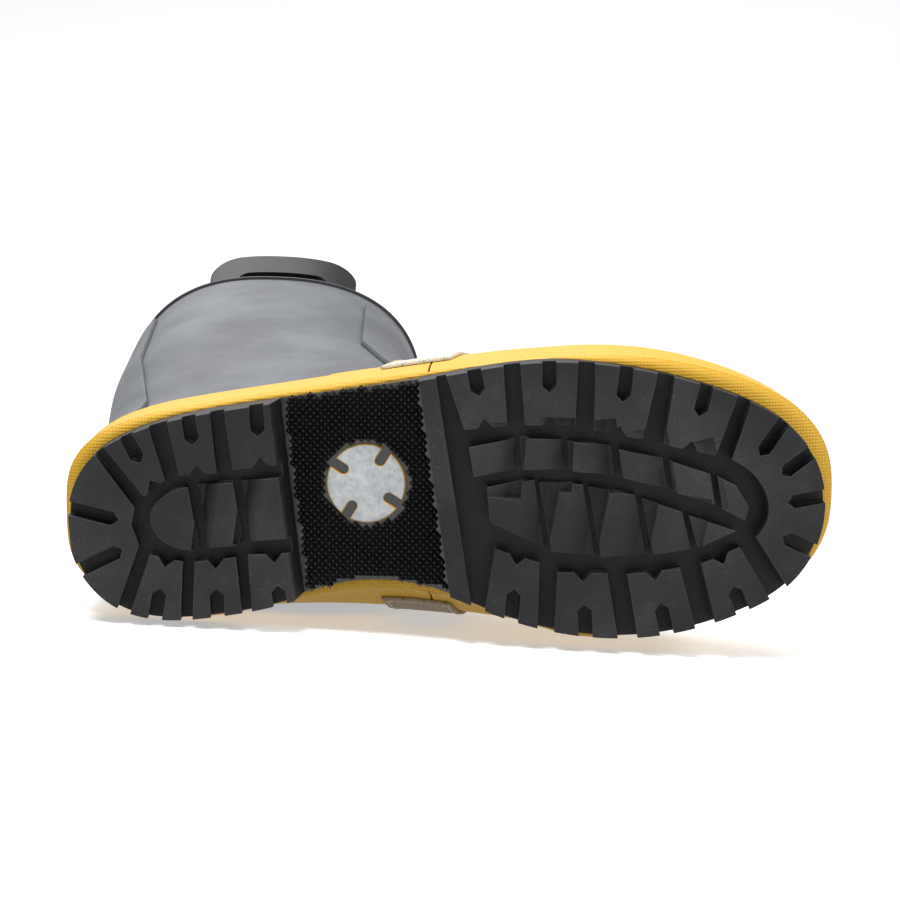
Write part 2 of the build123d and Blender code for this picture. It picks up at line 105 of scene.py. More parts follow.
def curved_row(position):
    """Form row at a fractional position, by a curve that never overshoots."""
    index = min(int(position), len(FORM_ROWS) - 2)
    t = position - index
    result = []
    for column in zip(*FORM_ROWS):
        def slope(i):
            if i <= 0 or i >= len(column) - 1:
                return column[min(i + 1, len(column) - 1)] - column[max(i - 1, 0)]
            before, after = column[i] - column[i - 1], column[i + 1] - column[i]
            if before * after <= 0:
                return 0.0
            return 2 * before * after / (before + after)
        a, b = column[index], column[index + 1]
        rise = b - a
        first = max(-3 * abs(rise), min(3 * abs(rise), slope(index)))
        last = max(-3 * abs(rise), min(3 * abs(rise), slope(index + 1)))
        result.append(a * (2 * t**3 - 3 * t**2 + 1) + b * (3 * t**2 - 2 * t**3)
                      + first * (t**3 - 2 * t**2 + t) + last * (t**3 - t**2))
    return result


ROW_STEPS = 40
ROW_TABLE = [curved_row(step / ROW_STEPS)
             for step in range((len(FORM_ROWS) - 1) * ROW_STEPS + 1)]


def smooth_row(position):
    """Form row read from the table between its two nearest steps."""
    place = min(max(position, 0.0) * ROW_STEPS, len(ROW_TABLE) - 1.001)
    index = int(place)
    t = place - index
    return [a + (b - a) * t for a, b in zip(ROW_TABLE[index], ROW_TABLE[index + 1])]


def form_point(turn, position, grow):
    """Point on the boot's form, in millimetres: station, across, height."""
    (back_z, front_z, back, front, heel_half, ball_half, heel_shift, ball_shift,
     waist, tuck, rise) = smooth_row(position)
    front += grow * cos(radians(rise))
    front_z += grow * sin(radians(rise))
    back -= grow
    spread = grow * (1.0 + 0.12 * sin(radians(rise)))
    upward = min(1.0, back_z / 250)
    power = 2.6 - 0.2 * upward if cos(turn) > 0 else 3.4 - 1.0 * upward
    along = abs(cos(turn)) ** (2 / power) * (1 if cos(turn) > 0 else -1)
    side = abs(sin(turn)) ** (2 / power) * (1 if sin(turn) > 0 else -1)
    blend = min(1.0, max(0.0, (along + 0.6) / 1.2))
    blend = blend * blend * (3 - 2 * blend)
    width = heel_half + (ball_half - heel_half) * blend + spread
    shift = heel_shift + (ball_shift - heel_shift) * blend
    shift -= waist * max(0.0, 1 - ((along + 0.2) / 0.45) ** 2)
    shift -= tuck * max(0.0, side) * max(0.0, 1 - ((along + 0.15) / 0.55) ** 2) ** 2
    station = (back + front) / 2 + (front - back) / 2 * along
    height = (back_z + front_z) / 2 + (front_z - back_z) / 2 * along
    return station, shift + side * width, height


def to_frame(station, across, height):
    """A point given in millimetres, in metres in the shared frame."""
    return Vector(((station - HALF_LENGTH) * MM, across * MM, height * MM))


def sole_top(station):
    """Height of the outsole's upper face, in millimetres."""
    if station < 80:
        return HEEL_TOP
    if station < 178:
        return HEEL_TOP + (BALL_TOP - HEEL_TOP) * (station - 80) / 98
    if station < SPRING_START:
        return BALL_TOP
    run = station - SPRING_START
    return BALL_TOP + SPRING_RADIUS - (SPRING_RADIUS**2 - run * run) ** 0.5


def row_at_height(turn, grow, wanted):
    """Position on the form where a height function of the point is reached."""
    low, high = 0.0, len(FORM_ROWS) - 1.0
    for _ in range(16):
        middle = (low + high) / 2
        station, across, height = form_point(turn, middle, grow)
        if height < wanted(station, across):
            low = middle
        else:
            high = middle
    return (low + high) / 2


def turn_steps(count=ROUND_STEPS):
    """Turns round the boot, spaced so that both ends are smooth."""
    turns = []
    for step in range(count):
        turn = 2 * pi * step / count
        turns.append(turn - 0.18 * sin(4 * turn) / 2)
    return turns


# ---- mesh helpers ---------------------------------------------------------------------
def new_object(name, mesh):
    """Object for a mesh, linked to the scene."""
    shape = bpy.data.objects.new(name, mesh)
    bpy.context.scene.collection.objects.link(shape)
    return shape


def finish_piece(shape, slot, body, *nodes, material=None, auto_smooth=35):
    """Smooth shading, material, place in the frame and the nodes it stands for."""
    mesh = shape.data
    for polygon in mesh.polygons:
        polygon.use_smooth = True
    mesh.set_sharp_from_angle(angle=radians(auto_smooth))
    mesh.materials.clear()
    mesh.materials.append(material or MATERIALS[slot]())
    if body:
        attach(shape, body)
    if nodes:
        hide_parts(*nodes)


def apply_modifiers(shape):
    """Replaces the shape's mesh by what its modifiers make of it."""
    graph = bpy.context.evaluated_depsgraph_get()
    graph.update()
    mesh = bpy.data.meshes.new_from_object(shape.evaluated_get(graph))
    old = shape.data
    shape.modifiers.clear()
    shape.data = mesh
    bpy.data.meshes.remove(old)


def solidify(shape, thickness, inward=True, bevel=0.0, segments=2):
    """Gives a sheet its wall, with rounded edges where bevel isn't zero."""
    wall = shape.modifiers.new("wall", "SOLIDIFY")
    wall.thickness = thickness * MM
    wall.offset = -1 if inward else 1
    wall.use_even_offset = True
    if bevel:
        soften(shape, bevel, segments)
    apply_modifiers(shape)


def soften(shape, width, segments=2, angle=40):
    """Adds a bevel modifier to the shape's sharp edges."""
    edge = shape.modifiers.new("edge", "BEVEL")
    edge.width = width * MM
    edge.segments = segments
    edge.limit_method = "ANGLE"
    edge.angle_limit = radians(angle)
    edge.harden_normals = False


def inside(points, x, z):
    """True where a side-view point lies in a polygon."""
    result = False
    for (ax, az), (bx, bz) in zip(points, points[1:] + points[:1]):
        if (az > z) != (bz > z) and x < ax + (z - az) * (bx - ax) / (bz - az):
            result = not result
    return result


def skin(name, grow, low, high, region=None, side=0, hole=None, levels=60):
    """Sheet on the boot's form between two height functions.

    region and hole are side-view polygons that trim it, and side -1 or 1
    keeps the lateral or the medial half.
    """
    turns = turn_steps()
    shape = bmesh.new()
    threads = shape.loops.layers.uv.new("threads")
    grid = []
    for turn in turns:
        start = row_at_height(turn, grow, low)
        end = row_at_height(turn, grow, high)
        line = []
        for level in range(levels + 1):
            position = start + (end - start) * level / levels
            line.append(shape.verts.new(to_frame(*form_point(turn, position, grow))))
        grid.append(line)
    middle = levels // 3
    around = 0.0
    up = [0.0]
    for level in range(levels):
        up.append(up[-1] + (grid[0][level + 1].co - grid[0][level].co).length)
    for first, second in zip(grid, grid[1:] + grid[:1]):
        step = (second[middle].co - first[middle].co).length
        for k in range(levels):
            face = shape.faces.new((first[k], second[k], second[k + 1], first[k + 1]))
            for loop, u, v in zip(face.loops, (around, around + step, around + step, around),
                                  (up[k], up[k], up[k + 1], up[k + 1])):
                loop[threads].uv = (u, v)
        around += step
    for outline in (region, hole):
        if outline is None:
            continue
        for (ax, az), (bx, bz) in zip(outline, outline[1:] + outline[:1]):
            normal = Vector((bz - az, 0, ax - bx)).normalized()
            bmesh.ops.bisect_plane(
                shape, geom=shape.verts[:] + shape.edges[:] + shape.faces[:],
                dist=1e-6, plane_co=to_frame(ax, 0, az), plane_no=normal)
    if side:
        bmesh.ops.bisect_plane(
            shape, geom=shape.verts[:] + shape.edges[:] + shape.faces[:],
            dist=1e-6, plane_co=Vector(), plane_no=Vector((0, 1, 0)))
    gone = []
    for face in shape.faces:
        centre = face.calc_center_median()
        station, height = centre.x / MM + HALF_LENGTH, centre.z / MM
        keep = region is None or inside(region, station, height)
        keep = keep and (hole is None or not inside(hole, station, height))
        keep = keep and (not side or centre.y * side > 0)
        if not keep:
            gone.append(face)
    bmesh.ops.delete(shape, geom=gone, context="FACES")
    bmesh.ops.dissolve_degenerate(shape, dist=2e-5, edges=shape.edges[:])
    bmesh.ops.remove_doubles(shape, verts=shape.verts[:], dist=2e-5)
    mesh = bpy.data.meshes.new(name)
    shape.to_mesh(mesh)
    shape.free()
    return new_object(name, mesh)


def lay_threads(mesh):
    """Thread coordinates of a lying piece, in metres along and across."""
    threads = mesh.uv_layers.new(name="threads")
    for loop in mesh.loops:
        place = mesh.vertices[loop.vertex_index].co
        threads.data[loop.index].uv = (place.x, place.y)


def copy_of_node(node, name, bevel=0.0, segments=2, angle=35):
    """Merged copy of a CAD node with rounded edges."""
    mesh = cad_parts[node].data.copy()
    mesh.name = name
    shape = bmesh.new()
    shape.from_mesh(mesh)
    bmesh.ops.remove_doubles(shape, verts=shape.verts[:], dist=2e-5)
    bmesh.ops.dissolve_limit(shape, angle_limit=radians(1.0), verts=shape.verts[:],
                             edges=shape.edges[:])
    shape.to_mesh(mesh)
    shape.free()
    mesh.materials.clear()
    piece = new_object(name, mesh)
    if bevel:
        soften(piece, bevel, segments, angle)
        apply_modifiers(piece)
    return piece


def paint_node(node, material):
    """Gives a CAD node that stays in view its material."""
    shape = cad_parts[node]
    for slot in shape.material_slots:
        slot.material = material


def join(target, *others):
    """Adds other shapes' meshes to the target's and removes them."""
    shape = bmesh.new()
    shape.from_mesh(target.data)
    for other in others:
        shape.from_mesh(other.data)
        bpy.data.objects.remove(other)
    shape.to_mesh(target.data)
    shape.free()
    return target


# ---- shader groups and materials ------------------------------------------------------------
class Graph:
    """Short way to add and link nodes in one node tree."""

    def __init__(self, tree):
        self.tree = tree

    def node(self, kind, **values):
        made = self.tree.nodes.new(kind)
        for name, value in values.items():
            if name in made.inputs:
                made.inputs[name].default_value = value
            else:
                setattr(made, name, value)
        return made

    def link(self, source, target):
        self.tree.links.new(source, target)


def socket(tree, name, way, kind, default=None):
    made = tree.interface.new_socket(name=name, in_out=way, socket_type=kind)
    if default is not None:
        made.default_value = default
    return made


def shader_group(name):
    """Existing group of that name, or a new empty one with its graph."""
    if name in bpy.data.node_groups:
        return bpy.data.node_groups[name], None
    tree = bpy.data.node_groups.new(name, "ShaderNodeTree")
    return tree, Graph(tree)


def rubber_surface():
    """Speckle, dust and fine relief of moulded rubber."""
    tree, g = shader_group("rubber_surface")
    if g is None:
        return tree
    for name, kind, default in (("Colour", "NodeSocketColor", (0.05, 0.05, 0.055, 1)),
                                ("Dust", "NodeSocketColor", (0.35, 0.34, 0.32, 1)),
                                ("Dust Amount", "NodeSocketFloat", 0.3),
                                ("Speck Scale", "NodeSocketFloat", 900.0),
                                ("Cloud Scale", "NodeSocketFloat", 14.0)):
        socket(tree, name, "INPUT", kind, default)
    socket(tree, "Colour", "OUTPUT", "NodeSocketColor")
    socket(tree, "Roughness", "OUTPUT", "NodeSocketFloat")
    socket(tree, "Height", "OUTPUT", "NodeSocketFloat")
    inner = g.node("NodeGroupInput")
    outer = g.node("NodeGroupOutput")
    place = g.node("ShaderNodeTexCoord")
    speck = g.node("ShaderNodeTexNoise", Detail=2.0, Roughness=0.6)
    cloud = g.node("ShaderNodeTexNoise", Detail=5.0, Roughness=0.62)
    dots = g.node("ShaderNodeTexVoronoi", Randomness=1.0, Scale=420.0)
    for noise in (speck, cloud, dots):
        g.link(place.outputs["Object"], noise.inputs["Vector"])
    g.link(inner.outputs["Speck Scale"], speck.inputs["Scale"])
    g.link(inner.outputs["Cloud Scale"], cloud.inputs["Scale"])
    tone = g.node("ShaderNodeMapRange")
    tone.inputs["From Min"].default_value = 0.3
    tone.inputs["From Max"].default_value = 0.72
    tone.inputs["To Min"].default_value = 0.72
    tone.inputs["To Max"].default_value = 1.32
    g.link(cloud.outputs["Fac"], tone.inputs["Value"])
    shaded = g.node("ShaderNodeVectorMath", operation="SCALE")
    g.link(inner.outputs["Colour"], shaded.inputs[0])
    g.link(tone.outputs["Result"], shaded.inputs["Scale"])
    near = g.node("ShaderNodeMapRange")
    near.inputs["From Min"].default_value = 0.16
    near.inputs["From Max"].default_value = 0.05
    g.link(dots.outputs["Distance"], near.inputs["Value"])
    patchy = g.node("ShaderNodeMapRange")
    patchy.inputs["From Min"].default_value = 0.45
    patchy.inputs["From Max"].default_value = 0.75
    g.link(cloud.outputs["Fac"], patchy.inputs["Value"])
    flecks = g.node("ShaderNodeMath", operation="MULTIPLY")
    g.link(near.outputs["Result"], flecks.inputs[0])
    g.link(patchy.outputs["Result"], flecks.inputs[1])
    film = g.node("ShaderNodeMath", operation="MULTIPLY_ADD")
    film.inputs[1].default_value = 0.2
    g.link(patchy.outputs["Result"], film.inputs[0])
    g.link(flecks.outputs[0], film.inputs[2])
    amount = g.node("ShaderNodeMath", operation="MULTIPLY", use_clamp=True)
    g.link(film.outputs[0], amount.inputs[0])
    g.link(inner.outputs["Dust Amount"], amount.inputs[1])
    mixed = g.node("ShaderNodeMix", data_type="RGBA")
    g.link(amount.outputs[0], mixed.inputs["Factor"])
    g.link(shaded.outputs["Vector"], mixed.inputs["A"])
    g.link(inner.outputs["Dust"], mixed.inputs["B"])
    g.link(mixed.outputs["Result"], outer.inputs["Colour"])
    rough = g.node("ShaderNodeMapRange")
    rough.inputs["To Min"].default_value = 0.42
    rough.inputs["To Max"].default_value = 0.68
    g.link(speck.outputs["Fac"], rough.inputs["Value"])
    g.link(rough.outputs["Result"], outer.inputs["Roughness"])
    g.link(speck.outputs["Fac"], outer.inputs["Height"])
    return tree


def weave_pattern():
    """Crossed threads: a height and a mask of the gaps between them, which places the painted shade
    in the gaps.
    """
    tree, g = shader_group("weave_pattern")
    if g is None:
        return tree
    socket(tree, "Scale", "INPUT", "NodeSocketFloat", 420.0)
    socket(tree, "Height", "OUTPUT", "NodeSocketFloat")
    socket(tree, "Gap", "OUTPUT", "NodeSocketFloat")
    inner = g.node("NodeGroupInput")
    outer = g.node("NodeGroupOutput")
    place = g.node("ShaderNodeUVMap", uv_map="threads")
    parts = g.node("ShaderNodeSeparateXYZ")
    g.link(place.outputs["UV"], parts.inputs[0])
    waves = []
    for value in (parts.outputs["X"], parts.outputs["Y"]):
        scaled = g.node("ShaderNodeMath", operation="MULTIPLY")
        g.link(value, scaled.inputs[0])
        g.link(inner.outputs["Scale"], scaled.inputs[1])
        turned = g.node("ShaderNodeMath", operation="MULTIPLY")
        turned.inputs[1].default_value = 2 * pi
        g.link(scaled.outputs[0], turned.inputs[0])
        wave = g.node("ShaderNodeMath", operation="SINE")
        g.link(turned.outputs[0], wave.inputs[0])
        waves.append(wave)
    crossed = g.node("ShaderNodeMath", operation="MULTIPLY")
    g.link(waves[0].outputs[0], crossed.inputs[0])
    g.link(waves[1].outputs[0], crossed.inputs[1])
    height = g.node("ShaderNodeMath", operation="ABSOLUTE")
    g.link(crossed.outputs[0], height.inputs[0])
    g.link(height.outputs[0], outer.inputs["Height"])
    gap_shade = g.node("ShaderNodeMapRange")
    gap_shade.inputs["From Min"].default_value = 0.3
    gap_shade.inputs["From Max"].default_value = 0.0
    g.link(height.outputs[0], gap_shade.inputs["Value"])
    g.link(gap_shade.outputs["Result"], outer.inputs["Gap"])
    return tree


def new_material(name):
    """A node material, its graph and its main shader."""
    made = bpy.data.materials.new(name)
    made.use_nodes = True
    g = Graph(made.node_tree)
    shader = made.node_tree.nodes["Principled BSDF"]
    return made, g, shader


def bump(g, shader, height, strength, distance):
    """Feeds a height into the shader's normal."""
    relief = g.node("ShaderNodeBump", Strength=strength, Distance=distance)
    g.link(height, relief.inputs["Height"])
    g.link(relief.outputs["Normal"], shader.inputs["Normal"])


def rubber(name, colour, dust, dust_amount, gloss=None, relief=0.00012,
           speck=900.0, cloud=14.0, shine=0.5):
    """Moulded rubber with specks, cloudy tone and dust."""
    if name in bpy.data.materials:
        return bpy.data.materials[name]
    made, g, shader = new_material(name)
    surface = g.node("ShaderNodeGroup", node_tree=rubber_surface())
    surface.inputs["Colour"].default_value = (*colour, 1)
    surface.inputs["Dust"].default_value = (*dust, 1)
    surface.inputs["Dust Amount"].default_value = dust_amount
    surface.inputs["Speck Scale"].default_value = speck
    surface.inputs["Cloud Scale"].default_value = cloud
    g.link(surface.outputs["Colour"], shader.inputs["Base Color"])
    if gloss is None:
        g.link(surface.outputs["Roughness"], shader.inputs["Roughness"])
    else:
        shader.inputs["Roughness"].default_value = gloss
    shader.inputs["Specular IOR Level"].default_value = shine
    bump(g, shader, surface.outputs["Height"], 0.5, relief)
    return made


def woven(name, colour, gap_shade_colour, scale, depth, roughness=0.7, fade=0.25):
    """Cloth or textured rubber with crossed threads, and painted shade in the gaps between them."""
    if name in bpy.data.materials:
        return bpy.data.materials[name]
    made, g, shader = new_material(name)
    weave = g.node("ShaderNodeGroup", node_tree=weave_pattern())
    weave.inputs["Scale"].default_value = scale
    place = g.node("ShaderNodeTexCoord")
    cloud = g.node("ShaderNodeTexNoise", Scale=22.0, Detail=4.0, Roughness=0.6)
    g.link(place.outputs["Object"], cloud.inputs["Vector"])
    worn = g.node("ShaderNodeMix", data_type="RGBA")
    worn.inputs["A"].default_value = (*colour, 1)
    worn.inputs["B"].default_value = (*[c + (1 - c) * fade for c in colour], 1)
    g.link(cloud.outputs["Fac"], worn.inputs["Factor"])
    # The gaps between the threads get a darker colour: painted shade.
    mixed = g.node("ShaderNodeMix", data_type="RGBA")
    mixed.inputs["B"].default_value = (*gap_shade_colour, 1)
    g.link(weave.outputs["Gap"], mixed.inputs["Factor"])
    g.link(worn.outputs["Result"], mixed.inputs["A"])
    g.link(mixed.outputs["Result"], shader.inputs["Base Color"])
    shader.inputs["Roughness"].default_value = roughness
    bump(g, shader, weave.outputs["Height"], 0.7, depth)
    return made


def steel():
    if "bare_steel" in bpy.data.materials:
        return bpy.data.materials["bare_steel"]
    made, g, shader = new_material("bare_steel")
    place = g.node("ShaderNodeTexCoord")
    stretch = g.node("ShaderNodeMapping")
    stretch.inputs["Scale"].default_value = (4.0, 160.0, 160.0)
    g.link(place.outputs["Object"], stretch.inputs["Vector"])
    grain = g.node("ShaderNodeTexNoise", Scale=8.0, Detail=4.0)
    g.link(stretch.outputs["Vector"], grain.inputs["Vector"])
    tone = g.node("ShaderNodeValToRGB")
    tone.color_ramp.elements[0].color = (0.42, 0.43, 0.44, 1)
    tone.color_ramp.elements[1].color = (0.66, 0.67, 0.68, 1)
    g.link(grain.outputs["Fac"], tone.inputs["Fac"])
    g.link(tone.outputs["Color"], shader.inputs["Base Color"])
    shader.inputs["Metallic"].default_value = 1.0
    shader.inputs["Roughness"].default_value = 0.36
    bump(g, shader, grain.outputs["Fac"], 0.2, 0.00005)
    return made


def reflector():
    """Mottled silver film."""
    if "silver_film" in bpy.data.materials:
        return bpy.data.materials["silver_film"]
    made, g, shader = new_material("silver_film")
    place = g.node("ShaderNodeTexCoord")
    mottle = g.node("ShaderNodeTexNoise", Scale=260.0, Detail=5.0, Roughness=0.7)
    g.link(place.outputs["Object"], mottle.inputs["Vector"])
    tone = g.node("ShaderNodeValToRGB")
    tone.color_ramp.elements[0].position = 0.35
    tone.color_ramp.elements[0].color = (0.50, 0.52, 0.54, 1)
    tone.color_ramp.elements[1].position = 0.7
    tone.color_ramp.elements[1].color = (0.78, 0.80, 0.81, 1)
    g.link(mottle.outputs["Fac"], tone.inputs["Fac"])
    g.link(tone.outputs["Color"], shader.inputs["Base Color"])
    shader.inputs["Roughness"].default_value = 0.5
    shader.inputs["Metallic"].default_value = 0.25
    bump(g, shader, mottle.outputs["Fac"], 0.4, 0.0001)
    return made


def groove_shade_mask(g):
    """Mask that is 1 on the lugs' faces and 0 in the grooves between them; it places the painted
    shade in the grooves.
    """
    place = g.node("ShaderNodeTexCoord")
    parts = g.node("ShaderNodeSeparateXYZ")
    g.link(place.outputs["Object"], parts.inputs[0])
    run = g.node("ShaderNodeMath", operation="SUBTRACT", use_clamp=True)
    run.inputs[1].default_value = (SPRING_START - HALF_LENGTH) * MM
    g.link(parts.outputs["X"], run.inputs[0])
    square = g.node("ShaderNodeMath", operation="MULTIPLY")
    g.link(run.outputs[0], square.inputs[0])
    g.link(run.outputs[0], square.inputs[1])
    spring = g.node("ShaderNodeMath", operation="MULTIPLY_ADD")
    spring.inputs[1].default_value = -0.5 / (SPRING_RADIUS * MM)
    g.link(square.outputs[0], spring.inputs[0])
    g.link(parts.outputs["Z"], spring.inputs[2])
    face = g.node("ShaderNodeMapRange")
    face.inputs["From Min"].default_value = 0.0055
    face.inputs["From Max"].default_value = 0.0008
    g.link(spring.outputs[0], face.inputs["Value"])
    return face.outputs["Result"]


def tread_black():
    """Outsole rubber: rounded edges made paler, partly wear and partly a painted highlight, painted
    shade in the grooves, and specks of dust.
    """
    made = rubber("tread_black", boot_settings().tread_colour, (0.45, 0.44, 0.42), 0.40, shine=0.28)
    g = Graph(made.node_tree)
    shader = made.node_tree.nodes["Principled BSDF"]
    if "edge_wear" in made.node_tree.nodes:
        return made
    rounded = g.node("ShaderNodeBevel", samples=6, Radius=boot_settings().tread_edge)
    plain = g.node("ShaderNodeNewGeometry")
    match = g.node("ShaderNodeVectorMath", operation="DOT_PRODUCT")
    g.link(rounded.outputs["Normal"], match.inputs[0])
    g.link(plain.outputs["Normal"], match.inputs[1])
    # Mask of the lugs' edges, from the rounded normal: it carries the paler edge colour, partly
    # wear and partly a painted highlight.
    edge = g.node("ShaderNodeMapRange", name="edge_wear")
    edge.inputs["From Min"].default_value = 0.995
    edge.inputs["From Max"].default_value = 0.86
    edge.inputs["To Max"].default_value = 0.55
    g.link(match.outputs["Value"], edge.inputs["Value"])
    # The grooves are painted near black: painted shade in the recesses between the lugs, with the
    # rubber's own colour on the faces.
    groove_shade = g.node("ShaderNodeMix", data_type="RGBA")
    groove_shade.inputs["A"].default_value = (0.0025, 0.0025, 0.003, 1)
    g.link(groove_shade_mask(g), groove_shade.inputs["Factor"])
    g.link(shader.inputs["Base Color"].links[0].from_socket, groove_shade.inputs["B"])
    # worn mixes in the pale edge colour: edge wear and a painted highlight along the lug edges.
    worn = g.node("ShaderNodeMix", data_type="RGBA")
    worn.inputs["B"].default_value = (0.12, 0.125, 0.14, 1)
    g.link(edge.outputs["Result"], worn.inputs["Factor"])
    g.link(groove_shade.outputs["Result"], worn.inputs["A"])
    g.link(worn.outputs["Result"], shader.inputs["Base Color"])
    relief = shader.inputs["Normal"].links[0].from_node
    g.link(rounded.outputs["Normal"], relief.inputs["Normal"])
    return made


def knurl_black():
    return rubber("knurl_black", (0.006, 0.006, 0.007), (0.3, 0.3, 0.3), 0.04, gloss=0.26,
                  shine=0.6)


def shaft_grey():
    return rubber("shaft_grey", boot_settings().shaft_colour, (0.50, 0.51, 0.53), 0.6,
                  relief=0.00025, speck=1400.0, cloud=11.0, shine=0.3)


def gum_yellow():
    return woven("gum_yellow", boot_settings().gum_colour, (0.62, 0.36, 0.02), 360.0, 0.00025,
                 roughness=0.55, fade=0.02)


def inlay_yellow():
    return rubber("inlay_yellow", boot_settings().gum_colour, (0.5, 0.42, 0.25), 0.12)


def binding_black():
    return rubber("binding_black", (0.035, 0.035, 0.038), (0.3, 0.3, 0.3), 0.1)


def loop_black():
    return rubber("loop_black", (0.006, 0.006, 0.007), (0.3, 0.3, 0.3), 0.05, gloss=0.4,
                  shine=0.18)


def patch_weave():
    return woven("patch_weave", (0.74, 0.73, 0.70), (0.42, 0.40, 0.36), 500.0, 0.0002)


def soiled_weave():
    """The inner patch's tape: a darker, browner copy of the outer patch's tape, as painted shade.
    """
    return woven("soiled_weave", (0.40, 0.31, 0.21), (0.22, 0.16, 0.10), 500.0, 0.0002, fade=0.1)


def grey_felt():
    return woven("grey_felt", (0.50, 0.48, 0.44), (0.34, 0.32, 0.29), 700.0, 0.0003, 0.95)


def dark_foam():
    return rubber("dark_foam", (0.09, 0.09, 0.10), (0.2, 0.2, 0.2), 0.3, speck=2200.0)


def tan_lining():
    return woven("tan_lining", (0.46, 0.33, 0.18), (0.26, 0.18, 0.09), 520.0, 0.0002, 0.9)


def cork_filler():
    return rubber("cork_filler", (0.16, 0.11, 0.07), (0.30, 0.22, 0.14), 0.8, speck=500.0)


def fibre_board():
    return rubber("fibre_board", (0.36, 0.25, 0.14), (0.5, 0.4, 0.28), 0.6, speck=1500.0)


def insole_cloth():
    return woven("insole_cloth", (0.10, 0.12, 0.16), (0.05, 0.06, 0.08), 600.0, 0.0002, 0.9)


MATERIALS = {
    "tread_rubber": tread_black, "yellow_rubber": gum_yellow,
    "reflective_film": reflector, "shaft_rubber": shaft_grey,
    "binding_rubber": binding_black, "reflective_weave": patch_weave,
    "loop_rubber": loop_black, "felt": grey_felt, "pad_foam": dark_foam,
    "lining_cloth": tan_lining, "steel": steel, "filler_rubber": cork_filler,
    "fibre_board": fibre_board, "insole_felt": insole_cloth,
}


# ---- settings -------------------------------------------------------------------------------
class BootSettings(bpy.types.PropertyGroup):
    knurl_pitch: bpy.props.FloatProperty(
        name="Knurl pitch", description="Distance between the shank's pyramids",
        default=0.0031, min=0.002, max=0.006, unit="LENGTH")
    knurl_height: bpy.props.FloatProperty(
        name="Knurl height", description="Height of the shank's pyramids",
        default=0.0013, min=0.0004, max=0.003, unit="LENGTH")
    stitch_pitch: bpy.props.FloatProperty(
        name="Stitch pitch", description="Distance between stitches on the patches",
        default=0.0030, min=0.002, max=0.006, unit="LENGTH")
    tread_edge: bpy.props.FloatProperty(
        name="Tread edge", description="Rounding of the lugs' edges",
        default=0.0005, min=0.0001, max=0.0015, unit="LENGTH")
    tread_colour: bpy.props.FloatVectorProperty(
        name="Tread colour", description="Colour of the outsole", subtype="COLOR",
        default=(0.018, 0.0185, 0.022), min=0, max=1)
    shaft_colour: bpy.props.FloatVectorProperty(
        name="Shaft colour", description="Colour of the rubber upper", subtype="COLOR",
        default=(0.105, 0.112, 0.125), min=0, max=1)
    gum_colour: bpy.props.FloatVectorProperty(
        name="Gum colour", description="Colour of the foxing and guard", subtype="COLOR",
        default=(0.80, 0.445, 0.014), min=0, max=1)


def boot_settings():
    """The sizes and colours kept on the scene."""
    return bpy.context.scene.boot_settings


def flat(height):
    return lambda station, across: height


def above_sole(rise):
    return lambda station, across: sole_top(station) + rise


# ---- outsole --------------------------------------------------------------------------------
def outline_points(count=240):
    """Smooth closed outline of the outsole as station and across pairs."""
    points = []
    size = len(OUTLINE)
    for step in range(count):
        place = step * size / count
        index, t = int(place), place - int(place)
        p = [OUTLINE[(index + k - 1) % size] for k in range(4)]
        points.append(tuple(
            0.5 * (2 * p[1][a] + (p[2][a] - p[0][a]) * t
                   + (2 * p[0][a] - 5 * p[1][a] + 4 * p[2][a] - p[3][a]) * t * t
                   + (3 * p[1][a] - p[0][a] - 3 * p[2][a] + p[3][a]) * t**3)
            for a in (0, 1)))
    return points


def knurl_tree():
    """Geometry nodes: a pyramid on each point of a mesh."""
    tree = bpy.data.node_groups.new("knurl_pyramids", "GeometryNodeTree")
    g = Graph(tree)
    socket(tree, "Geometry", "INPUT", "NodeSocketGeometry")
    socket(tree, "Pyramid Radius", "INPUT", "NodeSocketFloat", 0.0022)
    socket(tree, "Pyramid Height", "INPUT", "NodeSocketFloat", 0.0013)
    socket(tree, "Material", "INPUT", "NodeSocketMaterial")
    socket(tree, "Geometry", "OUTPUT", "NodeSocketGeometry")
    inner, outer = g.node("NodeGroupInput"), g.node("NodeGroupOutput")
    points = g.node("GeometryNodeMeshToPoints")
    cone = g.node("GeometryNodeMeshCone", Vertices=4)
    cone.inputs["Radius Top"].default_value = 0.00025
    g.link(inner.outputs["Pyramid Radius"], cone.inputs["Radius Bottom"])
    g.link(inner.outputs["Pyramid Height"], cone.inputs["Depth"])
    spread = g.node("GeometryNodeInstanceOnPoints")
    spread.inputs["Rotation"].default_value = (pi, 0, 0)
    g.link(inner.outputs["Geometry"], points.inputs["Mesh"])
    g.link(points.outputs["Points"], spread.inputs["Points"])
    g.link(cone.outputs["Mesh"], spread.inputs["Instance"])
    real = g.node("GeometryNodeRealizeInstances")
    painted = g.node("GeometryNodeSetMaterial")
    g.link(spread.outputs["Instances"], real.inputs["Geometry"])
    g.link(real.outputs["Geometry"], painted.inputs["Geometry"])
    g.link(inner.outputs["Material"], painted.inputs["Material"])
    g.link(painted.outputs["Geometry"], outer.inputs["Geometry"])
    return tree


def run_nodes(shape, tree, values):
    """Runs a geometry tree on a shape and keeps the result as its mesh."""
    modifier = shape.modifiers.new("nodes", "NODES")
    modifier.node_group = tree
    for item in tree.interface.items_tree:
        if item.item_type == "SOCKET" and item.in_out == "INPUT" and item.name in values:
            modifier[item.identifier] = values[item.name]
    apply_modifiers(shape)


KNURL_CENTRE = (124.0, -6.0)
KNURL_ROWS = 60             # rows of pyramids each way from the centre
KNURL_MARGIN = 1.2          # bare border round the knurl
INLAY_CENTRE = (124.5, -7.0)
INLAY_CLEARANCE = 18.5      # radius round the inlay that has no pyramids


def shank_height(station):
    """Height of the shank's underside."""
    return 16.0 + (station - 88) * (9.0 - 16.0) / 62


def shank_ends(across):
    """Stations where the shank meets the heel block and the cross rib."""
    return 88.5 + (across + 42) * 0.118, 147.0 + (across + 51) * 0.1436


